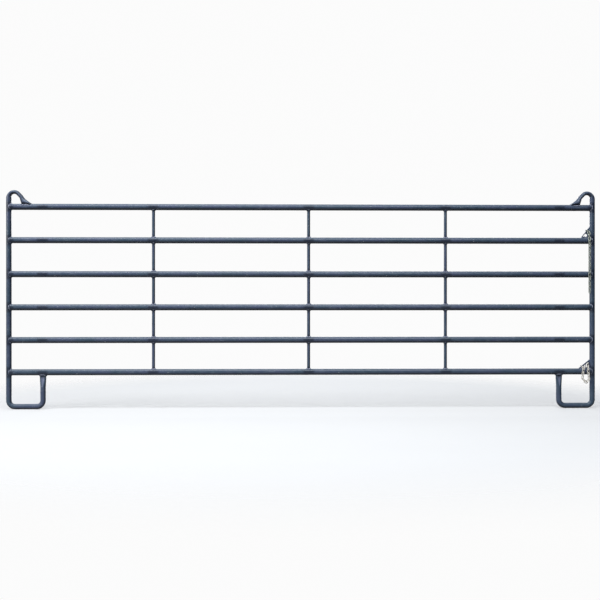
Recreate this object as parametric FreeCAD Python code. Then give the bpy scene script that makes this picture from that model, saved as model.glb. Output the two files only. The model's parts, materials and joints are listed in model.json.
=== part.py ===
"""Livestock panel: six welded tube rails between two bent end posts, with two tie chains.

Millimetres, +Z up. The origin lies on the ground, midway between the end posts and in the
panel's middle plane. +X runs along the rails towards the chained end, and -Y is the front.
"""
import FreeCAD
import Part
import math
import os
from collections import namedtuple

# Panel
panel_length = 4267.0
post_od = 38.1
post_wall = 1.6
rail_od = 44.45
rail_wall = 1.5
stay_od = 22.2
stay_wall = 1.5
bottom_rail_height = 266.0
rail_spacings = (232.0, 236.0, 239.0, 245.0, 240.0)
stay_places = {"left": -1076.0, "middle": 45.0, "right": 1040.0}
weld_gap = 0.4
saddle_trim = 6.0

# Foot, the lower end of each post tube
foot_width = 245.0
foot_bend_radius = 44.0
leg_crush_length = 92.0
leg_crush_width = 1.21 * post_od
leg_crush_depth = 0.6 * post_od
leg_flat_from = 0.8
leg_easing_stations = (0.0, 0.35, leg_flat_from, 1.0)

# Head loop, the upper end of each post tube
loop_bend_radius = 39.0
loop_rise = 107.0
loop_turn = 136.0
loop_thickness = 0.72 * post_od
loop_limb = 30.0
loop_bulge = 0.6
loop_flat_from = 0.4
toe_width = 1.42 * post_od
toe_length = 70.0
toe_start = 15.0
toe_start_height = 36.0
toe_tip = 4.4
toe_sink = 3.0
toe_start_turn = 122.0
toe_end_turn = 100.0

# Chain link
wire = 5.5
link_inside_length = 4.36 * wire
link_inside_width = 1.73 * wire

# Chain plates; a size is along the rail and up the post, a place inwards and up from the corner
plate_thickness = 6.35
plate_corner_cut = 7.0
plate_tip = 3.0
anchor_band = 0.82 * wire
anchor_hole_radius = 1.13 * wire
keyhole_radius = 2.0 * wire
keyhole_slot_width = 1.36 * wire
upper_plate_size = (62.0, 78.0)
upper_keyhole_place = (29.0, 18.0)
upper_slot_end_place = (46.0, 12.0)
upper_anchor_share = 0.66
lower_plate_size = (78.0, 64.0)
lower_keyhole_place = (30.0, 17.0)
lower_slot_end_place = (13.0, 42.0)
lower_anchor_share = 0.24

# How the chains hang
link_play = 0.35
link_twist = 9.0
chain_turn = 45.0
chain_rub = 1.0
upper_links = 19
upper_links_over_rail = 3
anchor_tilt = 30.0
anchor_seat = 1.345 * wire
lower_left_links = 5
lower_right_links = 6
lower_right_over_rail = 2
slot_seat = 0.4
last_link_back = (plate_thickness + wire) / 2 + 0.275
locked_link_back = last_link_back + 1.13 * wire
loop_hang_play = 0.5
loop_link_twist = 2.3
crossing_share = 0.95
crossing_play = 0.25
foot_link_lean = 40.0
loop_fitting_rounds = 4

post_x = (panel_length - post_od) / 2
post_radius = post_od / 2
rail_radius = rail_od / 2
rail_names = ("bottom_rail", "fifth_rail", "fourth_rail", "third_rail", "second_rail", "top_rail")
rail_heights = [bottom_rail_height + sum(rail_spacings[:i]) for i in range(len(rail_names))]
rail_z = dict(zip(rail_names, rail_heights))

X = FreeCAD.Vector(1, 0, 0)
Y = FreeCAD.Vector(0, 1, 0)
Z = FreeCAD.Vector(0, 0, 1)

os.makedirs("parts", exist_ok=True)
nodes = {}


def vector(x, y, z):
    return FreeCAD.Vector(x, y, z)


def unit(v):
    return FreeCAD.Vector(v).normalize()


def rod(radius, start, end):
    return Part.makeCylinder(radius, (end - start).Length, start, end - start)


def ring_face(radius, centre, direction):
    return Part.Face(Part.Wire(Part.makeCircle(radius, centre, direction)))


def rail_cutter(name):
    """The round room that a rail needs, with the gap that the weld fills."""
    reach = vector(post_x, 0, 0)
    centre = vector(0, 0, rail_z[name])
    return rod(rail_radius + weld_gap, centre - reach, centre + reach)


# ---------------------------------------------------------------- end posts

def oval(centre, long_way, short_way):
    """A section whose two half axes are given as vectors; equal ones make a circle."""
    if long_way.Length - short_way.Length > 1e-6:
        return Part.Wire(Part.Ellipse(centre + long_way, centre + short_way, centre).toShape())
    normal = unit(long_way.cross(short_way))
    circle = Part.Circle(centre, normal, long_way.Length)
    start = circle.value(0) - centre
    turn = math.atan2(start.cross(long_way).dot(normal), start.dot(long_way))
    wire = Part.Wire(circle.toShape())
    wire.rotate(centre, normal, math.degrees(turn))
    return wire


def head_loop(shrink):
    """The loop over the post: a bend, a falling limb and a crushed toe that lies on the top rail."""
    rail_top = rail_z["top_rail"] + rail_radius + weld_gap
    spring = rail_z["top_rail"] + loop_rise - loop_bend_radius
    oval_width = post_od + (post_od - loop_thickness) * loop_bulge

    def station(inward, z, turn, width, thickness):
        thick = vector(math.cos(math.radians(turn)), 0, math.sin(math.radians(turn)))
        centre = vector(post_x - inward, 0, z)
        return oval(centre, Y * (width / 2 - shrink), thick * (thickness / 2 - shrink))

    sections = []
    steps = 8
    for i in range(steps + 1):
        share = i / steps
        turn = loop_turn * share
        squeeze = math.sin(min(share / loop_flat_from, 1.0) * math.pi / 2)
        inward = loop_bend_radius * (1 - math.cos(math.radians(turn)))
        z = spring + loop_bend_radius * math.sin(math.radians(turn))
        width = post_od + (oval_width - post_od) * squeeze
        thickness = post_od + (loop_thickness - post_od) * squeeze
        sections.append(station(inward, z, turn, width, thickness))
    limb_in = inward + loop_limb * math.sin(math.radians(loop_turn))
    limb_z = z + loop_limb * math.cos(math.radians(loop_turn))
    sections.append(station(limb_in, limb_z, loop_turn, oval_width, loop_thickness))
    toe_steps = 3
    for i in range(toe_steps + 1):
        share = i / toe_steps
        height = toe_start_height + (toe_tip - toe_start_height) * share
        place = limb_in + toe_start + (toe_length - toe_start) * share
        turn = toe_start_turn + (toe_end_turn - toe_start_turn) * share
        width = oval_width + (toe_width - oval_width) * share
        depth = (height + toe_sink) / math.sin(math.radians(turn))
        sections.append(station(place, rail_top + (height - toe_sink) / 2, turn, width, depth))
    return Part.makeLoft(sections, True, False)


def crushed_leg(shrink):
    """The leg's upper end, squeezed flat across the panel where it meets the bottom rail."""
    top = rail_z["bottom_rail"]
    start = top - rail_radius - leg_crush_length
    leg_x = post_x - foot_width
    sections = []
    for share in leg_easing_stations:
        ease = (1 - math.cos(min(share / leg_flat_from, 1.0) * math.pi)) / 2
        half_x = (post_od + (leg_crush_width - post_od) * ease) / 2 - shrink
        half_y = (post_od + (leg_crush_depth - post_od) * ease) / 2 - shrink
        centre = vector(leg_x, 0, start + (top - start) * share)
        sections.append(oval(centre, X * half_x, Y * half_y))
    return Part.makeLoft(sections, True, False)


def post_stretches(shrink):
    """The right end post's stretches from its head to its leg, smaller all round by a wall."""
    radius = post_radius - shrink
    ground = post_radius
    bend = foot_bend_radius
    leg_x = post_x - foot_width
    corner_z = ground + bend
    spring = rail_z["top_rail"] + loop_rise - loop_bend_radius
    upright = rod(radius, vector(post_x, 0, corner_z), vector(post_x, 0, spring))
    base = rod(radius, vector(post_x - bend, 0, ground), vector(leg_x + bend, 0, ground))
    crush_start = rail_z["bottom_rail"] - rail_radius - leg_crush_length
    leg = rod(radius, vector(leg_x, 0, corner_z), vector(leg_x, 0, crush_start))
    outer_corner = ring_face(radius, vector(post_x, 0, corner_z), Z)
    outer_corner = outer_corner.revolve(vector(post_x - bend, 0, corner_z), Y, 90)
    inner_corner = ring_face(radius, vector(leg_x, 0, corner_z), Z)
    inner_corner = inner_corner.revolve(vector(leg_x + bend, 0, corner_z), Y, -90)
    return [head_loop(shrink), upright, outer_corner, base, inner_corner, leg, crushed_leg(shrink)]


def end_post():
    """One bent tube, fitted to the rails where its two crushed ends are welded on."""
    outsides = post_stretches(0.0)
    insides = post_stretches(post_wall)
    walls = [outside.cut(inside) for outside, inside in zip(outsides, insides)]
    walls[0] = walls[0].cut(rail_cutter("top_rail"))
    walls[-1] = walls[-1].cut(rail_cutter("bottom_rail"))
    return walls[0].fuse(walls[1:])


def cut_tube(outer, wall, start, end, cutters):
    return rod(outer, start, end).cut(rod(outer - wall, start, end)).cut(cutters)


def rail(name):
    reach = vector(post_x - saddle_trim, 0, 0)
    centre = vector(0, 0, rail_z[name])
    cutters = []
    for side in (-1, 1):
        foot = vector(side * post_x, 0, rail_z[name] - rail_od)
        cutters.append(rod(post_radius + weld_gap, foot, foot + Z * (2 * rail_od)))
    return cut_tube(rail_radius, rail_wall, centre - reach, centre + reach, cutters)


def stay(x, lower, upper):
    low = vector(x, 0, rail_z[lower])
    high = vector(x, 0, rail_z[upper])
    return cut_tube(stay_od / 2, stay_wall, low, high, [rail_cutter(lower), rail_cutter(upper)])


right_post = end_post()
nodes["right_end_post"] = right_post
nodes["left_end_post"] = right_post.mirror(vector(0, 0, 0), X)
for rail_name in rail_names:
    nodes[rail_name] = rail(rail_name)
for stay_name, stay_x in stay_places.items():
    for i in range(len(rail_names) - 1):
        name = f"{stay_name}_stay_{i + 1}"
        nodes[name] = stay(stay_x, rail_names[i], rail_names[i + 1])

# -------------------------------------------------------------- chain plates

Plate = namedtuple("Plate", "corner edge_low edge_high along_edge outward slot_end slot_up")


def plate_layout(rail_name, size, keyhole_place, slot_end_place):
    """Where a plate's slanted edge, keyhole and slot lie, and the keyhole's centre."""
    along_rail, up_post = size
    corner = vector(post_x - post_radius - weld_gap, 0, rail_z[rail_name] + rail_radius + weld_gap)
    low = corner + vector(-along_rail, 0, plate_tip)
    high = corner + vector(-plate_tip, 0, up_post)
    along_edge = unit(high - low)
    outward = vector(-along_edge.z, 0, along_edge.x)
    hole = corner + vector(-keyhole_place[0], 0, keyhole_place[1])
    end = corner + vector(-slot_end_place[0], 0, slot_end_place[1])
    return Plate(corner, low, high, along_edge, outward, end, unit(end - hole)), hole


def plate_solid(plate, hole, anchor_share):
    corner = plate.corner
    low = plate.edge_low
    high = plate.edge_high
    outline = [
        corner - X * plate_corner_cut,
        vector(low.x, 0, corner.z),
        low,
        high,
        vector(corner.x, 0, high.z),
        corner + Z * plate_corner_cut,
    ]
    outline.append(outline[0])
    blank = Part.Face(Part.makePolygon(outline)).extrude(Y * plate_thickness)
    through = Y * (3 * plate_thickness)
    cutters = [rod(keyhole_radius, hole - Y * plate_thickness, hole - Y * plate_thickness + through)]
    half = keyhole_slot_width / 2
    side = vector(-plate.slot_up.z, 0, plate.slot_up.x) * half
    start = plate.slot_end - Y * plate_thickness
    cutters.append(rod(half, start, start + through))
    mouth = hole - Y * plate_thickness
    slot = Part.makePolygon([start + side, start - side, mouth - side, mouth + side, start + side])
    cutters.append(Part.Face(slot).extrude(through))
    band = anchor_band + anchor_hole_radius
    anchor = edge_point(plate, anchor_share) - plate.outward * band - Y * plate_thickness
    cutters.append(rod(anchor_hole_radius, anchor, anchor + through))
    solid = blank.cut(cutters)
    solid.translate(Y * (-plate_thickness / 2))
    return solid


def edge_point(plate, share):
    return plate.edge_low + (plate.edge_high - plate.edge_low) * share


upper_plate, upper_keyhole = plate_layout(
    "second_rail", upper_plate_size, upper_keyhole_place, upper_slot_end_place)
lower_plate, lower_keyhole = plate_layout(
    "bottom_rail", lower_plate_size, lower_keyhole_place, lower_slot_end_place)
nodes["upper_chain_plate"] = plate_solid(upper_plate, upper_keyhole, upper_anchor_share)
nodes["lower_chain_plate"] = plate_solid(lower_plate, lower_keyhole, lower_anchor_share)

# --------------------------------------------------------------------- chain

bend_radius = (link_inside_width + wire) / 2
bar_span = link_inside_length + wire
straight_half = bar_span / 2 - bend_radius
hook = wire + link_play
pitch = bar_span - hook
outer_half = bend_radius + wire / 2
hang_y = -(rail_radius + outer_half + chain_rub)

# A link lies with its length on 'along' and its width on 'across'; it pivots on 'bar'.
Link = namedtuple("Link", "centre along across bar axis")


def link_blank():
    """One welded link about the origin, its length on Z and its width on X."""
    parts = []
    for side in (-1, 1):
        foot = vector(side * bend_radius, 0, -straight_half)
        head = vector(side * bend_radius, 0, straight_half)
        parts.append(rod(wire / 2, foot, head))
        bend = ring_face(wire / 2, vector(bend_radius, 0, side * straight_half), Z)
        parts.append(bend.revolve(vector(0, 0, side * straight_half), Y, -180 * side))
    return parts[0].fuse(parts[1:])


blank_link = link_blank()


def link_solid(link):
    face = link.along.cross(link.across)
    turn = FreeCAD.Rotation(link.across, face, link.along, "ZXY")
    solid = blank_link.copy()
    solid.Placement = FreeCAD.Placement(link.centre, turn)
    return solid


def next_link(previous, along, twist=0.0, play=0.0):
    """Hang a link on the far bend of another one, where a pull along its length would seat it."""
    face = unit(previous.along.cross(previous.across))
    pull = unit(along - face * along.dot(face))
    bar = previous.centre + previous.along * straight_half + pull * bend_radius
    tangent = face.cross(pull)
    across = unit(along.cross(tangent))
    across = FreeCAD.Rotation(along, twist).multVec(across)
    centre = bar - along * (hook + play) + along * (bar_span / 2)
    axis = tangent if tangent.x > 0 else tangent * -1
    return Link(centre, along, across, bar, axis)


def anchor_link(plate, share):
    """The link that holds a chain: through the small hole and round the plate's slanted edge."""
    band = edge_point(plate, share) - plate.outward * (anchor_band / 2)
    tilt = math.radians(anchor_tilt)
    along = Y * -math.cos(tilt) - plate.outward * math.sin(tilt)
    across = plate.outward * math.cos(tilt) - Y * math.sin(tilt)
    return Link(band + along * anchor_seat, along, across, band, plate.along_edge)


def forward(degrees):
    return vector(0, -math.sin(math.radians(degrees)), -math.cos(math.radians(degrees)))


def lean_over_rail(start_y, links):
    """The forward lean that brings a chain from its anchor to in front of the rail."""
    return math.degrees(math.asin((start_y - hang_y) / (links * pitch)))


def far_bend_y(link):
    return (link.centre + link.along * straight_half).y


upper_chain = [anchor_link(upper_plate, upper_anchor_share)]
upper_lean = lean_over_rail(far_bend_y(upper_chain[0]), upper_links_over_rail)
for i in range(upper_links):
    direction = forward(upper_lean) if i < upper_links_over_rail else forward(0)
    turned = link_twist if 0 < i <= chain_turn / link_twist else 0.0
    upper_chain.append(next_link(upper_chain[-1], direction, turned))
for i, link in enumerate(upper_chain):
    name = "upper_anchor_link" if i == 0 else f"upper_chain_link_{i:02d}"
    nodes[name] = link_solid(link)


# The lower chain is stored as a loop: its left end is anchored, and its right end is locked in
# the keyhole's slot by a link that lies flat behind the plate.
def locked_link(plate):
    """The link that stands through the slot, across the plate, at the slot's upper end."""
    reach = outer_half - keyhole_slot_width / 2 + slot_seat
    centre = plate.slot_end - plate.slot_up * reach + Y * (locked_link_back - bar_span / 2)
    return Link(centre, Y * -1, plate.slot_up, centre, X)


def last_link(locked):
    """The chain's last link, hung behind the plate on the locked link's lower side."""
    side = locked.centre - locked.across * bend_radius
    side = vector(side.x, last_link_back, side.z)
    return Link(side + Z * hook - Z * (bar_span / 2), Z * -1, X, side, Y)


def strand(first, links, over_rail, shift, twist, inwards):
    """Links over the rail's front, then down with a sideways shift to a foot that leans inwards."""
    chain = [first]
    lean = lean_over_rail(far_bend_y(first), over_rail)
    run = (links - 1 - over_rail) * pitch
    down = unit(vector(shift[0], shift[1], -math.sqrt(run ** 2 - shift[0] ** 2 - shift[1] ** 2)))
    foot_turn = math.radians(foot_link_lean)
    foot = vector(inwards * math.sin(foot_turn), 0, -math.cos(foot_turn))
    ways = [forward(lean)] * over_rail + [down] * (links - 1 - over_rail) + [foot]
    for i, way in enumerate(ways):
        play = loop_hang_play if i == 0 else 0.0
        chain.append(next_link(chain[-1], way, twist if i else 0.0, play))
    return chain[1:]


def lowest_bar(link):
    return link.centre + link.along * (bar_span / 2)


def crossing_link(left_bar, right_bar):
    """The link across the bottom of the loop, carried by both strands under its upper side."""
    along = unit(right_bar - left_bar)
    up = unit(Z - along * along.z)
    rise = up * (hook - bend_radius + crossing_play)
    return Link((left_bar + right_bar) / 2 + rise, along, up, left_bar, along)


lower_anchor = anchor_link(lower_plate, lower_anchor_share)
lower_locked = locked_link(lower_plate)


def lower_strands(shift):
    left = strand(lower_anchor, lower_left_links, 1, shift, loop_link_twist, 1)
    right = strand(lower_locked, lower_right_links, lower_right_over_rail,
                   (-shift[0], -shift[1]), -loop_link_twist, -1)
    return left, right


def square_to(link):
    """The level direction across a hanging link's width, towards the post."""
    side = unit(vector(-link.across.y, link.across.x, 0))
    return side if side.x > 0 else side * -1


# Both strands lean until their feet are as far apart as the crossing link's straight side.
shift_x = 0.0
shift_y = 0.0
for _ in range(loop_fitting_rounds):
    left_strand, right_strand = lower_strands((shift_x, shift_y))
    gap = lowest_bar(right_strand[-1]) - lowest_bar(left_strand[-1])
    foot_span = math.sqrt((2 * crossing_share * straight_half) ** 2 - gap.z ** 2)
    crossing_way = unit(square_to(left_strand[-1]) + square_to(right_strand[-1])) * foot_span
    shift_x += (gap.x - crossing_way.x) / 2
    shift_y += (gap.y - crossing_way.y) / 2
lower_crossing = crossing_link(lowest_bar(left_strand[-1]), lowest_bar(right_strand[-1]))

lower_loop = {}
for i, link in enumerate(left_strand):
    lower_loop[f"lower_chain_left_link_{i + 1}"] = link
lower_loop["lower_chain_bottom_link"] = lower_crossing
for i, link in enumerate(right_strand):
    lower_loop[f"lower_chain_right_link_{i + 1}"] = link
for name, link in lower_loop.items():
    nodes[name] = link_solid(link)
nodes["lower_anchor_link"] = link_solid(lower_anchor)
nodes["lower_locked_link"] = link_solid(lower_locked)
nodes["lower_last_link"] = link_solid(last_link(lower_locked))

if __name__ == "__main__":
    for name, shape in nodes.items():
        shape.exportStep(f"parts/{name}.step")
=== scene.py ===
import json
import math
import random

import bmesh
import bpy
import numpy as np
from mathutils import Matrix, Vector

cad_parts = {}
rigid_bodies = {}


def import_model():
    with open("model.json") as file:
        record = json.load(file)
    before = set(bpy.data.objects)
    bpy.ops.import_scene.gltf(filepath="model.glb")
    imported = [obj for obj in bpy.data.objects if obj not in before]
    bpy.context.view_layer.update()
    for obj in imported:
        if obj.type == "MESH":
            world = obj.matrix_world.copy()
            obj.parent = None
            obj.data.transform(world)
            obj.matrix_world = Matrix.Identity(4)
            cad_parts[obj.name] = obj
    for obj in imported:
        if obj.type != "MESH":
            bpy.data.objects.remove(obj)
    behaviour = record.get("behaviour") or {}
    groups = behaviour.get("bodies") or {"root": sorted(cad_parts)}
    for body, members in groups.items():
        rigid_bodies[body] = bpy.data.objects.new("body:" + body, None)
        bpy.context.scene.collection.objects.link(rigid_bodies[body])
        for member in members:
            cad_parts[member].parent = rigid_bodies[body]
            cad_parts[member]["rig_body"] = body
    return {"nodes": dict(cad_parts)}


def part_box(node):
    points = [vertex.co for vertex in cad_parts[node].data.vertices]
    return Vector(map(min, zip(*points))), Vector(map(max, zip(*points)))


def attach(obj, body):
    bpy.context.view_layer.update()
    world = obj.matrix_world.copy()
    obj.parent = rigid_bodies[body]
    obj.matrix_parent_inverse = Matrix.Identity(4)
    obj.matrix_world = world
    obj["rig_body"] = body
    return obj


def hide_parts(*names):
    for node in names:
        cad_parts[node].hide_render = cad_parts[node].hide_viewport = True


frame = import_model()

# Metres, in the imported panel's own frame: +X along the rails towards the chained end, -Y the
# front, +Z up from the ground.
scene = bpy.context.scene
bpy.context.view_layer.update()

X = Vector((1, 0, 0))
Y = Vector((0, 1, 0))
Z = Vector((0, 0, 1))

POST_RADIUS = 0.01905
RAIL_RADIUS = 0.022225
RAIL_WALL = 0.0015
STAY_RADIUS = 0.0111
RAIL_NAMES = ("bottom_rail", "fifth_rail", "fourth_rail", "third_rail", "second_rail", "top_rail")
STAY_SIDES = ("left", "middle", "right")


def middle(node):
    """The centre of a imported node's box."""
    low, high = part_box(node)
    return (low + high) / 2


POST_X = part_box("right_end_post")[1].x - POST_RADIUS
RAIL_Z = {name: middle(name).z for name in RAIL_NAMES}
STAY_X = {side: middle(f"{side}_stay_1").x for side in STAY_SIDES}
FOOT_WIDTH = 0.245
LEG_XS = (FOOT_WIDTH - POST_X, POST_X - FOOT_WIDTH)
RAIL_END_GAP = 0.006
STAY_COPE = 0.006
WELD_BEAT = 0.0042
dice = random.Random(11)


# ------------------------------------------------------------------ shader wiring

class Field:
    """A shader socket that takes part in Python arithmetic; the operators add Math nodes."""

    def __init__(self, wiring, socket):
        self.wiring = wiring
        self.socket = socket

    def calc(self, operation, *terms):
        inputs = dict(enumerate(terms))
        return self.wiring.add("ShaderNodeMath", {"operation": operation}, inputs)

    def __add__(self, other):
        return self.calc("ADD", self, other)

    def __radd__(self, other):
        return self.calc("ADD", other, self)

    def __sub__(self, other):
        return self.calc("SUBTRACT", self, other)

    def __rsub__(self, other):
        return self.calc("SUBTRACT", other, self)

    def __mul__(self, other):
        return self.calc("MULTIPLY", self, other)

    def __rmul__(self, other):
        return self.calc("MULTIPLY", other, self)

    def __abs__(self):
        return self.calc("ABSOLUTE", self)

    def root(self):
        return self.calc("SQRT", self)

    def least(self, other):
        return self.calc("MINIMUM", self, other)

    def step(self, start, end):
        """A smooth rise from 0 at 'start' to 1 at 'end'."""
        inputs = {"Value": self, "From Min": start, "From Max": end}
        return self.wiring.add("ShaderNodeMapRange", {"interpolation_type": "SMOOTHSTEP"}, inputs)


class Wiring:
    """A node tree that is filled by one method."""

    def __init__(self, tree):
        self.tree = tree

    def add(self, kind, settings=None, inputs=None, output=0):
        node = self.tree.nodes.new(kind)
        for key, value in (settings or {}).items():
            setattr(node, key, value)
        for key, value in (inputs or {}).items():
            self.feed(node.inputs[key], value)
        return Field(self, node.outputs[output])

    def feed(self, socket, value):
        if isinstance(value, Field):
            self.tree.links.new(value.socket, socket)
        else:
            socket.default_value = value

    def blend(self, share, first, second):
        """A colour between two colours."""
        inputs = {0: share, 6: first, 7: second}
        return self.add("ShaderNodeMix", {"data_type": "RGBA"}, inputs, 2)

    def noise(self, place, scale, detail=3.0, roughness=0.55):
        inputs = {"Vector": place, "Scale": scale, "Detail": detail, "Roughness": roughness}
        return self.add("ShaderNodeTexNoise", {}, inputs)

    def spots(self, place, scale, output="Distance"):
        return self.add("ShaderNodeTexVoronoi", {}, {"Vector": place, "Scale": scale}, output)

    def stretch(self, place, scales):
        return self.add("ShaderNodeMapping", {}, {"Vector": place, "Scale": scales})

    def place(self):
        return self.add("ShaderNodeTexCoord", {}, {}, "Object")

    def part(self, vector, axis):
        return self.add("ShaderNodeSeparateXYZ", {}, {"Vector": vector}, axis)

    def facing(self, axis):
        """1 on a surface that looks along an axis, -1 on one that looks against it."""
        return self.part(self.add("ShaderNodeNewGeometry", {}, {}, "Normal"), axis)

    def bump(self, height, strength, distance, below=None):
        inputs = {"Height": height, "Strength": strength, "Distance": distance}
        if below:
            inputs["Normal"] = below
        return self.add("ShaderNodeBump", {}, inputs)


class Finish(Wiring):
    """A material whose Principled shader gets constants and varying fields."""

    def __init__(self, name):
        self.material = bpy.data.materials.new(name)
        self.material.use_nodes = True
        super().__init__(self.material.node_tree)
        self.shader = self.tree.nodes["Principled BSDF"]

    def set(self, values):
        for name, value in values.items():
            self.feed(self.shader.inputs[name], value)


def nearest(field, places):
    """How far a coordinate lies from the nearest of some places."""
    gap = abs(field - places[0])
    for place in places[1:]:
        gap = gap.least(abs(field - place))
    return gap


def highlight_wedge(x, z):
    """1 on a wedge on each leg's crushed top, where a pale highlight is painted, else 0."""
    low_z = RAIL_Z["bottom_rail"]
    height = z - (low_z - 0.115)
    off_wedge = nearest(x, LEG_XS) - height * 0.16
    return off_wedge.step(0.002, -0.002) * height.step(0.0, 0.02) * height.step(0.086, 0.078)


# ---------------------------------------------------------------------- materials

def painted_steel(name, streak_scales, bead=0.0):
    """Slate blue enamel with mottling, dust, scuffs, chips and rust that starts at the welds; it also
    carries painted shade and painted highlights.
    """
    finish = Finish(name)
    place = finish.place()
    joints_x = [-POST_X, POST_X, *LEG_XS, *STAY_X.values()]
    gap_x = nearest(finish.part(place, "X"), joints_x)
    gap_z = nearest(finish.part(place, "Z"), list(RAIL_Z.values()))
    weld_gap = (gap_x * gap_x + gap_z * gap_z).root()
    near_weld = weld_gap.step(0.085, 0.02)

    cloud = finish.noise(place, 5.0, 2.0)
    patch = finish.noise(place, 26.0, 4.0)
    speckle = finish.noise(place, 190.0, 3.0, 0.7)
    tone = finish.blend(cloud.step(0.35, 0.65), (0.046, 0.077, 0.118, 1), (0.064, 0.083, 0.146, 1))
    tone = finish.blend(patch.step(0.40, 0.75) * 0.35, tone, (0.100, 0.135, 0.175, 1))
    tone = finish.blend(speckle.step(0.55, 0.80) * 0.30, tone, (0.030, 0.044, 0.070, 1))

    # The upper sides are lighter: sun chalking plus painted light from above. The undersides are painted
    # near black as painted shade.
    shade = finish.facing("Z")
    tone = finish.blend(shade.step(0.15, 0.98) * 0.40, tone, (0.150, 0.190, 0.240, 1))
    tone = finish.blend(shade.step(0.05, -0.70) * 0.92, tone, (0.006, 0.009, 0.016, 1))
    # Painted shade: sides that face +X are darkened, as if the light came from the left; the beads are
    # spared.
    right_side_shade = finish.facing("X").step(0.30, 0.85) * (1 - bead)
    tone = finish.blend(right_side_shade * 0.80, tone, (0.010, 0.015, 0.026, 1))

    # Rubbing marks run along the tubes; animals and stacked panels leave them.
    streak = finish.noise(finish.stretch(place, streak_scales), 1.0, 5.0, 0.62)
    rubbed = streak.step(0.60, 0.72) * patch.step(0.42, 0.60)
    # Painted highlight: a pale violet wedge on the crushed top of each leg.
    crushed_top_highlight = highlight_wedge(finish.part(place, "X"), finish.part(place, "Z"))
    tone = finish.blend(crushed_top_highlight * 0.70, tone, (0.215, 0.235, 0.345, 1))
    tone = finish.blend(rubbed * 0.65, tone, (0.240, 0.270, 0.320, 1))

    dust = shade.step(0.45, 0.98) * finish.noise(place, 60.0, 5.0).step(0.38, 0.72)
    tone = finish.blend(dust * 0.40, tone, (0.300, 0.330, 0.350, 1))

    cell = finish.spots(place, 95.0, "Color")
    chosen = finish.part(cell, "X").step(0.90, 0.93)
    chip = finish.spots(place, 95.0).step(0.30, 0.20) * chosen * finish.noise(place, 9.0).step(0.50, 0.62)
    tone = finish.blend(chip * 0.85, tone, (0.420, 0.435, 0.440, 1))

    rust_grain = finish.noise(place, 130.0, 6.0, 0.68)
    rust = near_weld * rust_grain.step(0.60 - 0.05 * bead, 0.70)
    tone = finish.blend(rust * 0.60, tone, (0.130, 0.062, 0.030, 1))
    # Painted shade: near the joints, faces that do not look up are darkened towards navy black; the beads
    # are spared.
    joint_shade = weld_gap.step(0.050, 0.026) * shade.step(0.80, 0.20) * (1 - bead)
    tone = finish.blend(joint_shade * 0.75, tone, (0.012, 0.018, 0.036, 1))
    # Painted highlight: the upward faces of the weld beads are lightened in speckles.
    lit = bead * shade.step(-0.15, 0.55)
    tone = finish.blend(lit * speckle.step(0.30, 0.55), tone, (0.430, 0.440, 0.560, 1))

    roughness = 0.30 + 0.16 * patch + 0.18 * rubbed + 0.30 * dust + 0.35 * rust
    skin = finish.bump(finish.noise(place, 420.0, 2.0), 0.16, 0.0004)
    ripple = finish.bump(patch, 0.10, 0.002, skin)
    scaled = finish.bump(chip + rust, 0.35, 0.0004, ripple)
    finish.set({
        "Base Color": tone,
        "Roughness": roughness,
        "Normal": scaled,
        "Metallic": 0.0,
        "IOR": 1.5,
        "Specular IOR Level": 0.36,
        "Coat Weight": 0.12,
        "Coat Roughness": 0.14,
    })
    return finish.material


def zinc(name, light, dull, stain, metal):
    """Galvanised wire: spangled grey zinc, duller and stained in places."""
    finish = Finish(name)
    place = finish.place()
    spangle = finish.part(finish.spots(place, 420.0, "Color"), "Y")
    bloom = finish.noise(place, 120.0, 4.0, 0.6)
    tone = finish.blend(spangle, light, dull)
    tone = finish.blend(bloom.step(0.52, 0.72) * 0.7, tone, stain)
    tone = finish.blend(finish.noise(place, 700.0, 3.0).step(0.60, 0.75) * 0.6, tone, (0.10, 0.09, 0.07, 1))
    pits = finish.noise(place, 1500.0, 2.0)
    finish.set({
        "Base Color": tone,
        "Roughness": 0.28 + 0.22 * bloom + 0.10 * spangle,
        "Metallic": metal - 0.3 * bloom.step(0.52, 0.72),
        "Normal": finish.bump(pits, 0.25, 0.0002),
    })
    return finish.material


rail_paint = painted_steel("rail_slate_enamel", (7.0, 150.0, 150.0))
post_paint = painted_steel("post_slate_enamel", (140.0, 140.0, 9.0))
weld_paint = painted_steel("weld_slate_enamel", (60.0, 60.0, 60.0), 0.90)
tie_zinc = zinc("chain_zinc_weathered", (0.58, 0.61, 0.52, 1), (0.24, 0.26, 0.22, 1),
                (0.36, 0.40, 0.31, 1), 0.45)
# Painted warm light: the lower chain's copy of the zinc is paler and warmer than the upper chain's.
lower_chain_lit_zinc = zinc("chain_zinc_bright", (0.98, 0.94, 0.85, 1), (0.66, 0.61, 0.54, 1),
                 (0.80, 0.73, 0.62, 1), 0.30)


# -------------------------------------------------------------------- mesh helpers

def finish_piece(name, mesh, material, body, replaced=(), crease=38.0):
    """Makes a mesh into a shown piece with closed, outward faces and creased edges."""
    bmesh.ops.recalc_face_normals(mesh, faces=mesh.faces)
    for face in mesh.faces:
        face.smooth = True
    for edge in mesh.edges:
        edge.smooth = edge.calc_face_angle(math.pi) < math.radians(crease)
    data = bpy.data.meshes.new(name)
    mesh.to_mesh(data)
    mesh.free()
    data.materials.append(material)
    piece = bpy.data.objects.new(name, data)
    scene.collection.objects.link(piece)
    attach(piece, body)
    if replaced:
        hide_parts(*replaced)
    return piece


def oval_ring(mesh, centre, long_way, short_way, sides=48):
    """Adds a ring of edges whose two half axes are the given vectors."""
    normal = long_way.cross(short_way).normalized()
    place = Matrix((long_way, short_way, normal)).transposed().to_4x4()
    place.translation = centre
    made = bmesh.ops.create_circle(mesh, segments=sides, radius=1.0, matrix=place)
    return list(dict.fromkeys(edge for vert in made["verts"] for edge in vert.link_edges))


def loft(mesh, rings):
    for near, far in zip(rings, rings[1:]):
        bmesh.ops.bridge_loops(mesh, edges=near + far)


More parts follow.
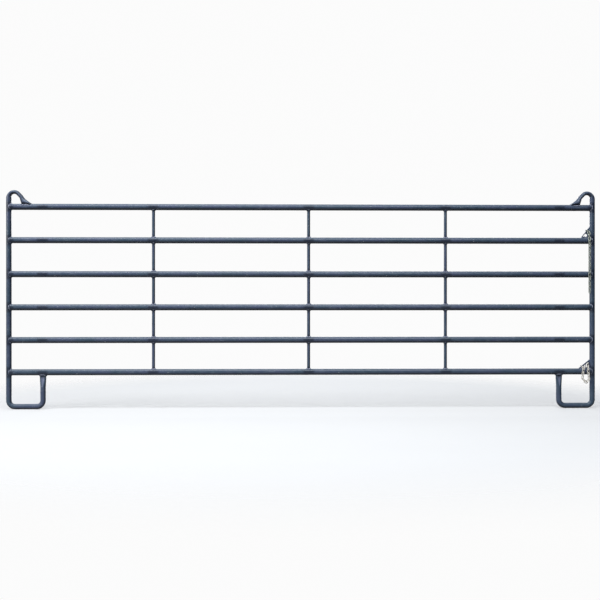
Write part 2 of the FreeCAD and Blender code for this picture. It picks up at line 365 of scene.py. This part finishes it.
def tube(mesh, start, end, outer, wall):
    """A straight open tube with a real wall, across which Y is square."""
    side = (end - start).normalized().cross(Y)
    rings = []
    for radius, spot in ((outer, start), (outer, end), (outer - wall, end), (outer - wall, start)):
        rings.append(oval_ring(mesh, spot, side * radius, Y * radius))
    loft(mesh, rings + rings[:1])


def fresh(mesh):
    """The vertices added since the last call."""
    added = [vert for vert in mesh.verts if not vert.tag]
    for vert in added:
        vert.tag = True
    return added


def weld_ring(mesh, joint, back, tube_radius, landing_radius, size, least=0.0):
    """A bead round a tube's end, along the line where it lands on another tube.

    'joint' is where the two centrelines cross, and 'back' points from it along the first tube.
    """
    sides = 10
    steps = 72
    fresh(mesh)
    place = Matrix((back * size, Y * size, back.cross(Y))).transposed().to_4x4()
    place.translation = joint + Y * tube_radius
    ring = bmesh.ops.create_circle(mesh, segments=sides, radius=1.0, matrix=place)["verts"]
    edges = list(dict.fromkeys(edge for vert in ring for edge in vert.link_edges))
    bmesh.ops.spin(mesh, geom=ring + edges, cent=joint, axis=back, angle=2 * math.pi, steps=steps,
                   use_merge=True, use_duplicate=False)
    beats = round(2 * math.pi * tube_radius / WELD_BEAT)
    phase = dice.uniform(0, 6)
    other = back.cross(Y)
    for vert in fresh(mesh):
        arm = vert.co - joint
        flat = arm - back * arm.dot(back)
        turn = math.atan2(flat.dot(other), flat.y)
        core = (Y * math.cos(turn) + other * math.sin(turn)) * tube_radius
        reach = landing_radius ** 2 - core.y ** 2
        setback = math.sqrt(max(reach, least ** 2))
        swell = 1 + 0.16 * math.sin(beats * turn + phase) + 0.14 * math.sin(3 * turn + 2 * phase)
        vert.co = joint + core + back * setback + (arm - core) * swell


def spatter(mesh, joint, along, radius, count, reach=0.055):
    """Small drops of weld metal that stuck to a tube beside a joint."""
    other = along.cross(Y)
    for _ in range(count):
        turn = dice.uniform(0, 2 * math.pi)
        away = dice.choice((-1, 1)) * dice.uniform(0.4, 1.0) * reach
        size = dice.uniform(0.0006, 0.0016)
        spot = joint + along * away + (Y * math.cos(turn) + other * math.sin(turn)) * radius
        place = Matrix.Translation(spot)
        bmesh.ops.create_icosphere(mesh, subdivisions=1, radius=size, matrix=place)


# ---------------------------------------------------------------- rails and stays

RAIL_END_WELD = 0.0034
STAY_TOP_WELD = 0.0042
STAY_FOOT_WELD = 0.0058

for name in RAIL_NAMES:
    rail = bmesh.new()
    centre = Z * RAIL_Z[name]
    reach = X * (POST_X - RAIL_END_GAP)
    tube(rail, centre - reach, centre + reach, RAIL_RADIUS, RAIL_WALL)
    finish_piece(f"{name}_tube", rail, rail_paint, "panel", [name])

for side in STAY_SIDES:
    for i in range(len(RAIL_NAMES) - 1):
        stay = bmesh.new()
        low = Vector((STAY_X[side], 0, RAIL_Z[RAIL_NAMES[i]] + RAIL_RADIUS - STAY_COPE))
        high = Vector((STAY_X[side], 0, RAIL_Z[RAIL_NAMES[i + 1]] - RAIL_RADIUS + STAY_COPE))
        tube(stay, low, high, STAY_RADIUS, RAIL_WALL)
        name = f"{side}_stay_{i + 1}"
        finish_piece(f"{name}_tube", stay, post_paint, "panel", [name])

for i, name in enumerate(RAIL_NAMES):
    welds = bmesh.new()
    centre = Z * RAIL_Z[name]
    for way in (-1, 1):
        joint = centre + X * (way * POST_X)
        weld_ring(welds, joint, X * -way, RAIL_RADIUS, POST_RADIUS, RAIL_END_WELD, RAIL_END_GAP)
    for side in STAY_SIDES:
        joint = centre + X * STAY_X[side]
        if i > 0:
            weld_ring(welds, joint, -Z, STAY_RADIUS, RAIL_RADIUS, STAY_TOP_WELD)
        if i < len(RAIL_NAMES) - 1:
            weld_ring(welds, joint, Z, STAY_RADIUS, RAIL_RADIUS, STAY_FOOT_WELD)
        spatter(welds, joint, X, RAIL_RADIUS, 9)
    finish_piece(f"{name}_welds", welds, weld_paint, "panel")


# --------------------------------------------------------------------- end posts

LOOP_BEND = 0.039
LOOP_RISE = 0.107
LOOP_TURN = math.radians(136)
LOOP_THICKNESS = 0.02743
LOOP_LIMB = 0.030
LOOP_WIDTH = 2 * POST_RADIUS + (2 * POST_RADIUS - LOOP_THICKNESS) * 0.6
TOE_WIDTH = 0.0541
TOE_LENGTH = 0.070
TOE_START = 0.015
TOE_START_HEIGHT = 0.036
TOE_TIP = 0.0044
TOE_SINK = 0.003
TOE_START_TURN = math.radians(122)
TOE_END_TURN = math.radians(100)
FOOT_BEND = 0.044
CRUSH_LENGTH = 0.092
CRUSH_WIDTH = 0.0461
CRUSH_DEPTH = 0.02286
LIMB_IN = LOOP_BEND * (1 - math.cos(LOOP_TURN)) + LOOP_LIMB * math.sin(LOOP_TURN)
LEG_WELD = 0.0058
TOE_WELD = 0.0042
WELD_STANDOFF = 0.001


def post_rings(mesh, way):
    """Rings along one bent post, from its crushed toe over the head and down round the foot."""
    rail_top = RAIL_Z["top_rail"] + RAIL_RADIUS + 0.0004
    spring = RAIL_Z["top_rail"] + LOOP_RISE - LOOP_BEND

    def ring(inward, z, turn, width, thickness):
        thick = Vector((way * math.cos(turn), 0, math.sin(turn)))
        centre = Vector((way * (POST_X - inward), 0, z))
        return oval_ring(mesh, centre, Y * (width / 2), thick * (thickness / 2))

    limb_z = spring + LOOP_BEND * math.sin(LOOP_TURN) + LOOP_LIMB * math.cos(LOOP_TURN)
    rings = []
    toe_steps = 6
    for i in range(toe_steps, -1, -1):
        share = i / toe_steps
        height = TOE_START_HEIGHT + (TOE_TIP - TOE_START_HEIGHT) * share
        inward = LIMB_IN + TOE_START + (TOE_LENGTH - TOE_START) * share
        turn = TOE_START_TURN + (TOE_END_TURN - TOE_START_TURN) * share
        width = LOOP_WIDTH + (TOE_WIDTH - LOOP_WIDTH) * share
        depth = (height + TOE_SINK) / math.sin(turn)
        rings.append(ring(inward, rail_top + (height - TOE_SINK) / 2, turn, width, depth))
    rings.append(ring(LIMB_IN, limb_z, LOOP_TURN, LOOP_WIDTH, LOOP_THICKNESS))
    bend_steps = 22
    for i in range(bend_steps, -1, -1):
        share = i / bend_steps
        turn = LOOP_TURN * share
        squeeze = math.sin(min(share / 0.4, 1.0) * math.pi / 2)
        inward = LOOP_BEND * (1 - math.cos(turn))
        z = spring + LOOP_BEND * math.sin(turn)
        width = 2 * POST_RADIUS + (LOOP_WIDTH - 2 * POST_RADIUS) * squeeze
        thickness = 2 * POST_RADIUS + (LOOP_THICKNESS - 2 * POST_RADIUS) * squeeze
        rings.append(ring(inward, z, turn, width, thickness))

    corner_z = POST_RADIUS + FOOT_BEND
    corner_steps = 12
    for i in range(corner_steps + 1):
        turn = math.pi / 2 * i / corner_steps
        inward = FOOT_BEND * (1 - math.cos(turn))
        z = corner_z - FOOT_BEND * math.sin(turn)
        rings.append(ring(inward, z, -turn, 2 * POST_RADIUS, 2 * POST_RADIUS))
    for i in range(corner_steps + 1):
        turn = math.pi / 2 * i / corner_steps
        inward = FOOT_WIDTH - FOOT_BEND * (1 - math.sin(turn))
        z = corner_z - FOOT_BEND * math.cos(turn)
        rings.append(ring(inward, z, -math.pi / 2 - turn, 2 * POST_RADIUS, 2 * POST_RADIUS))

    top = RAIL_Z["bottom_rail"]
    start = top - RAIL_RADIUS - CRUSH_LENGTH
    crush_steps = 14
    for i in range(crush_steps + 1):
        share = i / crush_steps
        ease = (1 - math.cos(min(share / 0.8, 1.0) * math.pi)) / 2
        width = 2 * POST_RADIUS + (CRUSH_DEPTH - 2 * POST_RADIUS) * ease
        thickness = 2 * POST_RADIUS + (CRUSH_WIDTH - 2 * POST_RADIUS) * ease
        z = start + (top - 0.012 - start) * share
        rings.append(ring(FOOT_WIDTH, z, -math.pi, width, thickness))
        pinch_leg(rings[-1], way, ease)
    return rings


def pinch_leg(ring, way, ease):
    """The press leaves a groove down the middle of both flat faces of the crushed leg."""
    centre = way * (POST_X - FOOT_WIDTH)
    for vert in dict.fromkeys(vert for edge in ring for vert in edge.verts):
        groove = math.exp(-((vert.co.x - centre) / 0.0085) ** 2)
        vert.co.y *= 1 - 0.42 * ease * groove


for way, side in ((-1, "left"), (1, "right")):
    post = bmesh.new()
    rings = post_rings(post, way)
    loft(post, rings)
    for end in (rings[0], rings[-1]):
        bmesh.ops.edgeloop_fill(post, edges=end)
    node = f"{side}_end_post"
    finish_piece(f"{node}_tube", post, post_paint, "panel", [node], 30.0)


def bead_line(mesh, points, size):
    """A run of weld through some points: overlapping ripples like a row of coins."""
    length = sum((b - a).length for a, b in zip(points, points[1:]))
    count = max(4, round(length / WELD_BEAT))
    spots = []
    for a, b in zip(points, points[1:]):
        share = max(1, round(count * (b - a).length / length))
        spots.extend((a.lerp(b, i / share), (b - a).normalized()) for i in range(share))
    spots.append((points[-1], (points[-1] - points[-2]).normalized()))
    for spot, along in spots:
        turn = along.to_track_quat("Z", "Y").to_matrix().to_4x4()
        wide = size * dice.uniform(0.88, 1.12)
        place = Matrix.Translation(spot) @ turn @ Matrix.Diagonal((wide, wide, WELD_BEAT * 1.05, 1))
        bmesh.ops.create_uvsphere(mesh, u_segments=8, v_segments=5, radius=1.0, matrix=place)


for way, side in ((-1, "left"), (1, "right")):
    welds = bmesh.new()
    leg_x = way * (POST_X - FOOT_WIDTH)
    low_z = RAIL_Z["bottom_rail"]
    around = []
    for i in range(41):
        turn = 2 * math.pi * i / 40
        x = leg_x + (CRUSH_WIDTH / 2 + WELD_STANDOFF) * math.cos(turn)
        y = (CRUSH_DEPTH / 2 + WELD_STANDOFF) * math.sin(turn)
        around.append(Vector((x, y, low_z - math.sqrt(RAIL_RADIUS ** 2 - y ** 2) - 0.0005)))
    bead_line(welds, around, LEG_WELD)
    rail_top = RAIL_Z["top_rail"]
    toe_x = way * (POST_X - LIMB_IN)
    tip_x = toe_x - way * TOE_LENGTH
    toe_line = []
    for i in range(25):
        share = i / 24
        across = math.cos(math.pi * share)
        x = tip_x + way * (TOE_LENGTH - 0.012) * (1 - math.sin(math.pi * share)) ** 1.6
        y = across * 0.0185
        toe_line.append(Vector((x, y, rail_top + math.sqrt(RAIL_RADIUS ** 2 - y ** 2))))
    bead_line(welds, toe_line, TOE_WELD)
    spatter(welds, Vector((leg_x, 0, low_z)), X, RAIL_RADIUS, 14, 0.06)
    spatter(welds, Vector((toe_x, 0, rail_top)), X, RAIL_RADIUS, 14, 0.09)
    finish_piece(f"{side}_post_welds", welds, weld_paint, "panel")


# ------------------------------------------------------------------- chain plates

PLATE_THICKNESS = 0.00635
PLATE_CORNER_CUT = 0.007
PLATE_TIP = 0.003
KEYHOLE_RADIUS = 0.011
KEYHOLE_SLOT = 0.0075
ANCHOR_HOLE_RADIUS = 0.0062
ANCHOR_BAND = 0.0045
PLATE_WELD = 0.0024


def cutter(mesh, radius, x, z):
    place = Matrix.Translation((x, 0, z)) @ Matrix.Rotation(math.pi / 2, 4, "X")
    bmesh.ops.create_cone(mesh, cap_ends=True, segments=48, radius1=radius, radius2=radius,
                          depth=4 * PLATE_THICKNESS, matrix=place)


def chain_plate(node, keyhole, slot_end, anchor_place):
    """A corner plate with a keyhole, its slot and the anchor hole; places count from the corner."""
    low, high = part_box(node)
    corner = Vector((high.x, 0, low.z))
    edge_low = Vector((low.x, 0, low.z + PLATE_TIP))
    edge_high = Vector((high.x - PLATE_TIP, 0, high.z))
    outline = [
        corner - X * PLATE_CORNER_CUT,
        Vector((low.x, 0, low.z)),
        edge_low,
        edge_high,
        Vector((high.x, 0, high.z)),
        corner + Z * PLATE_CORNER_CUT,
    ]
    mesh = bmesh.new()
    face = mesh.faces.new([mesh.verts.new(point - Y * (PLATE_THICKNESS / 2)) for point in outline])
    grown = bmesh.ops.extrude_face_region(mesh, geom=[face])
    top = [item for item in grown["geom"] if isinstance(item, bmesh.types.BMVert)]
    bmesh.ops.translate(mesh, verts=top, vec=Y * PLATE_THICKNESS)
    bmesh.ops.recalc_face_normals(mesh, faces=mesh.faces)
    data = bpy.data.meshes.new(node)
    mesh.to_mesh(data)
    mesh.free()
    blank = bpy.data.objects.new(f"{node}_blank", data)
    scene.collection.objects.link(blank)

    hole = corner + Vector((-keyhole[0], 0, keyhole[1]))
    end = corner + Vector((-slot_end[0], 0, slot_end[1]))
    along_edge = (edge_high - edge_low).normalized()
    outward = Vector((-along_edge.z, 0, along_edge.x))
    edge_spot = edge_low.lerp(edge_high, anchor_place)
    anchor = edge_spot - outward * (ANCHOR_BAND + ANCHOR_HOLE_RADIUS)
    tools = []
    for radius, spot in ((KEYHOLE_RADIUS, hole), (KEYHOLE_SLOT / 2, end), (ANCHOR_HOLE_RADIUS, anchor)):
        tool = bmesh.new()
        cutter(tool, radius, spot.x, spot.z)
        tools.append(tool)
    bar = bmesh.new()
    run = end - hole
    turn = Matrix.Rotation(-math.atan2(run.z, run.x), 4, "Y")
    size = Matrix.Diagonal((run.length, 4 * PLATE_THICKNESS, KEYHOLE_SLOT, 1))
    bmesh.ops.create_cube(bar, size=1.0, matrix=Matrix.Translation((hole + end) / 2) @ turn @ size)
    tools.append(bar)
    spare = []
    for i, tool in enumerate(tools):
        bmesh.ops.recalc_face_normals(tool, faces=tool.faces)
        tool_data = bpy.data.meshes.new(f"{node}_tool_{i}")
        tool.to_mesh(tool_data)
        tool.free()
        item = bpy.data.objects.new(f"{node}_tool_{i}", tool_data)
        scene.collection.objects.link(item)
        spare.append(item)
        cut = blank.modifiers.new(f"cut_{i}", "BOOLEAN")
        cut.operation = "DIFFERENCE"
        cut.solver = "EXACT"
        cut.object = item
    rounding = blank.modifiers.new("rounding", "BEVEL")
    rounding.width = 0.0007
    rounding.segments = 3
    rounding.limit_method = "ANGLE"
    rounding.angle_limit = math.radians(40)
    bpy.context.view_layer.update()
    shaped = blank.evaluated_get(bpy.context.evaluated_depsgraph_get())
    plate = bmesh.new()
    plate.from_mesh(shaped.to_mesh())
    for item in [blank, *spare]:
        bpy.data.objects.remove(item)
    finish_piece(f"{node}_body", plate, rail_paint, "panel", [node], 25.0)

    welds = bmesh.new()
    for y in (-1, 1):
        lift = Vector((0, y * PLATE_THICKNESS / 2, 0))
        along_rail = [corner + lift - X * PLATE_CORNER_CUT, Vector((low.x + 0.003, lift.y, low.z))]
        up_post = [corner + lift + Z * PLATE_CORNER_CUT, Vector((high.x, lift.y, high.z - 0.003))]
        bead_line(welds, along_rail, PLATE_WELD)
        bead_line(welds, up_post, PLATE_WELD)
    finish_piece(f"{node}_welds", welds, weld_paint, "panel")


chain_plate("upper_chain_plate", (0.029, 0.018), (0.046, 0.012), 0.66)
chain_plate("lower_chain_plate", (0.030, 0.017), (0.013, 0.042), 0.24)


# ------------------------------------------------------------------------- chains

WIRE_RADIUS = 0.00275


def link_frame(node):
    """A link's centre and the ways of its length and width, from its own mesh."""
    co = np.array([vert.co for vert in frame["nodes"][node].data.vertices])
    ways = np.linalg.eigh(np.cov(co.T))[1][:, ::-1]
    spread = co @ ways
    centre = ways @ ((spread.min(axis=0) + spread.max(axis=0)) / 2)
    return Vector(centre), Vector(ways[:, 0]), Vector(ways[:, 1])


def link_weld(node, body, material):
    """The butt weld halfway along one side of a link stands a little proud of the wire."""
    centre, along, across = link_frame(node)
    side = centre + across * (dice.choice((-1, 1)) * 0.0075)
    face = along.cross(across)
    mesh = bmesh.new()
    rings = []
    for share in (-1.0, -0.72, -0.35, 0.0, 0.35, 0.72, 1.0):
        proud = 0.0003 * math.cos(share * math.pi / 2) ** 0.7 - 0.0001 * abs(share)
        radius = WIRE_RADIUS + proud
        spot = side + along * (share * 0.0021)
        rings.append(oval_ring(mesh, spot, across * radius, face * radius, 20))
    loft(mesh, rings)
    for end in (rings[0], rings[-1]):
        bmesh.ops.edgeloop_fill(mesh, edges=end)
    finish_piece(f"{node}_weld", mesh, material, body)


for node, shown in frame["nodes"].items():
    if "link" not in node:
        continue
    material = tie_zinc if node.startswith("upper") else lower_chain_lit_zinc
    shown.material_slots[0].material = material
    link_weld(node, shown["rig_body"], material)


# --------------------------------------------------------- floor, lights and camera

def studio_floor():
    mesh = bmesh.new()
    bmesh.ops.create_circle(mesh, cap_ends=True, segments=96, radius=16.0)
    data = bpy.data.meshes.new("studio_floor")
    mesh.to_mesh(data)
    mesh.free()
    floor = bpy.data.objects.new("studio_floor", data)
    scene.collection.objects.link(floor)
    finish = Finish("pale_floor")
    place = finish.place()
    x = finish.part(place, "X")
    y = finish.part(place, "Y")
    away = (x * x + y * y).root()
    grain = finish.noise(place, 3.0, 3.0)
    tone = finish.blend(grain * 0.4, (0.86, 0.86, 0.86, 1), (0.81, 0.81, 0.81, 1))
    finish.set({"Base Color": tone, "Roughness": 0.9, "Alpha": 0.6 - 0.6 * away.step(2.2, 3.6)})
    data.materials.append(finish.material)


def studio_world():
    world = bpy.data.worlds.new("studio_air")
    world.use_nodes = True
    scene.world = world
    wiring = Wiring(world.node_tree)
    back = world.node_tree.nodes["Background"]
    way = wiring.add("ShaderNodeTexCoord", {}, {}, "Generated")
    up = wiring.part(way, "Z")
    light = wiring.blend(up.step(-0.1, 0.9), (0.045, 0.048, 0.052, 1), (0.27, 0.31, 0.37, 1))
    light = wiring.blend(wiring.part(way, "X").step(0.1, 0.9) * 0.8, light, (0.02, 0.022, 0.026, 1))
    seen = wiring.add("ShaderNodeLightPath", {}, {}, "Is Camera Ray")
    wiring.feed(back.inputs["Color"], wiring.blend(seen, light, (0.97, 0.97, 0.97, 1)))
    back.inputs["Strength"].default_value = 1.0


def softbox(name, place, target, width, height, power, colour):
    lamp = bpy.data.lights.new(name, "AREA")
    lamp.shape = "RECTANGLE"
    lamp.size = width
    lamp.size_y = height
    lamp.energy = power
    lamp.color = colour
    holder = bpy.data.objects.new(name, lamp)
    holder.location = place
    holder.rotation_euler = (Vector(target) - Vector(place)).to_track_quat("-Z", "Y").to_euler()
    scene.collection.objects.link(holder)


studio_floor()
studio_world()
softbox("overhead_box", (-0.8, -2.4, 5.0), (0, 0, 0.9), 6.5, 1.6, 290.0, (0.94, 0.97, 1.0))
softbox("left_box", (-6.5, -3.4, 2.4), (0, 0, 0.8), 1.4, 2.6, 190.0, (1.0, 0.99, 0.97))
softbox("back_box", (0.8, 6.5, 3.0), (0, 0, 0.8), 5.0, 1.6, 170.0, (0.95, 0.97, 1.0))

camera_data = bpy.data.cameras.new("front_camera")
camera_data.sensor_width = 36.0
camera_data.lens = 53.8
camera = bpy.data.objects.new("front_camera", camera_data)
scene.collection.objects.link(camera)
azimuth = math.radians(-1.15)
aim = Vector((-0.0175, 0, 0.787))
distance = 6.5
camera.location = aim + Vector((math.sin(azimuth), -math.cos(azimuth), 0)) * distance
camera.rotation_euler = (aim - camera.location).to_track_quat("-Z", "Y").to_euler()
scene.camera = camera
scene.view_settings.view_transform = "Standard"
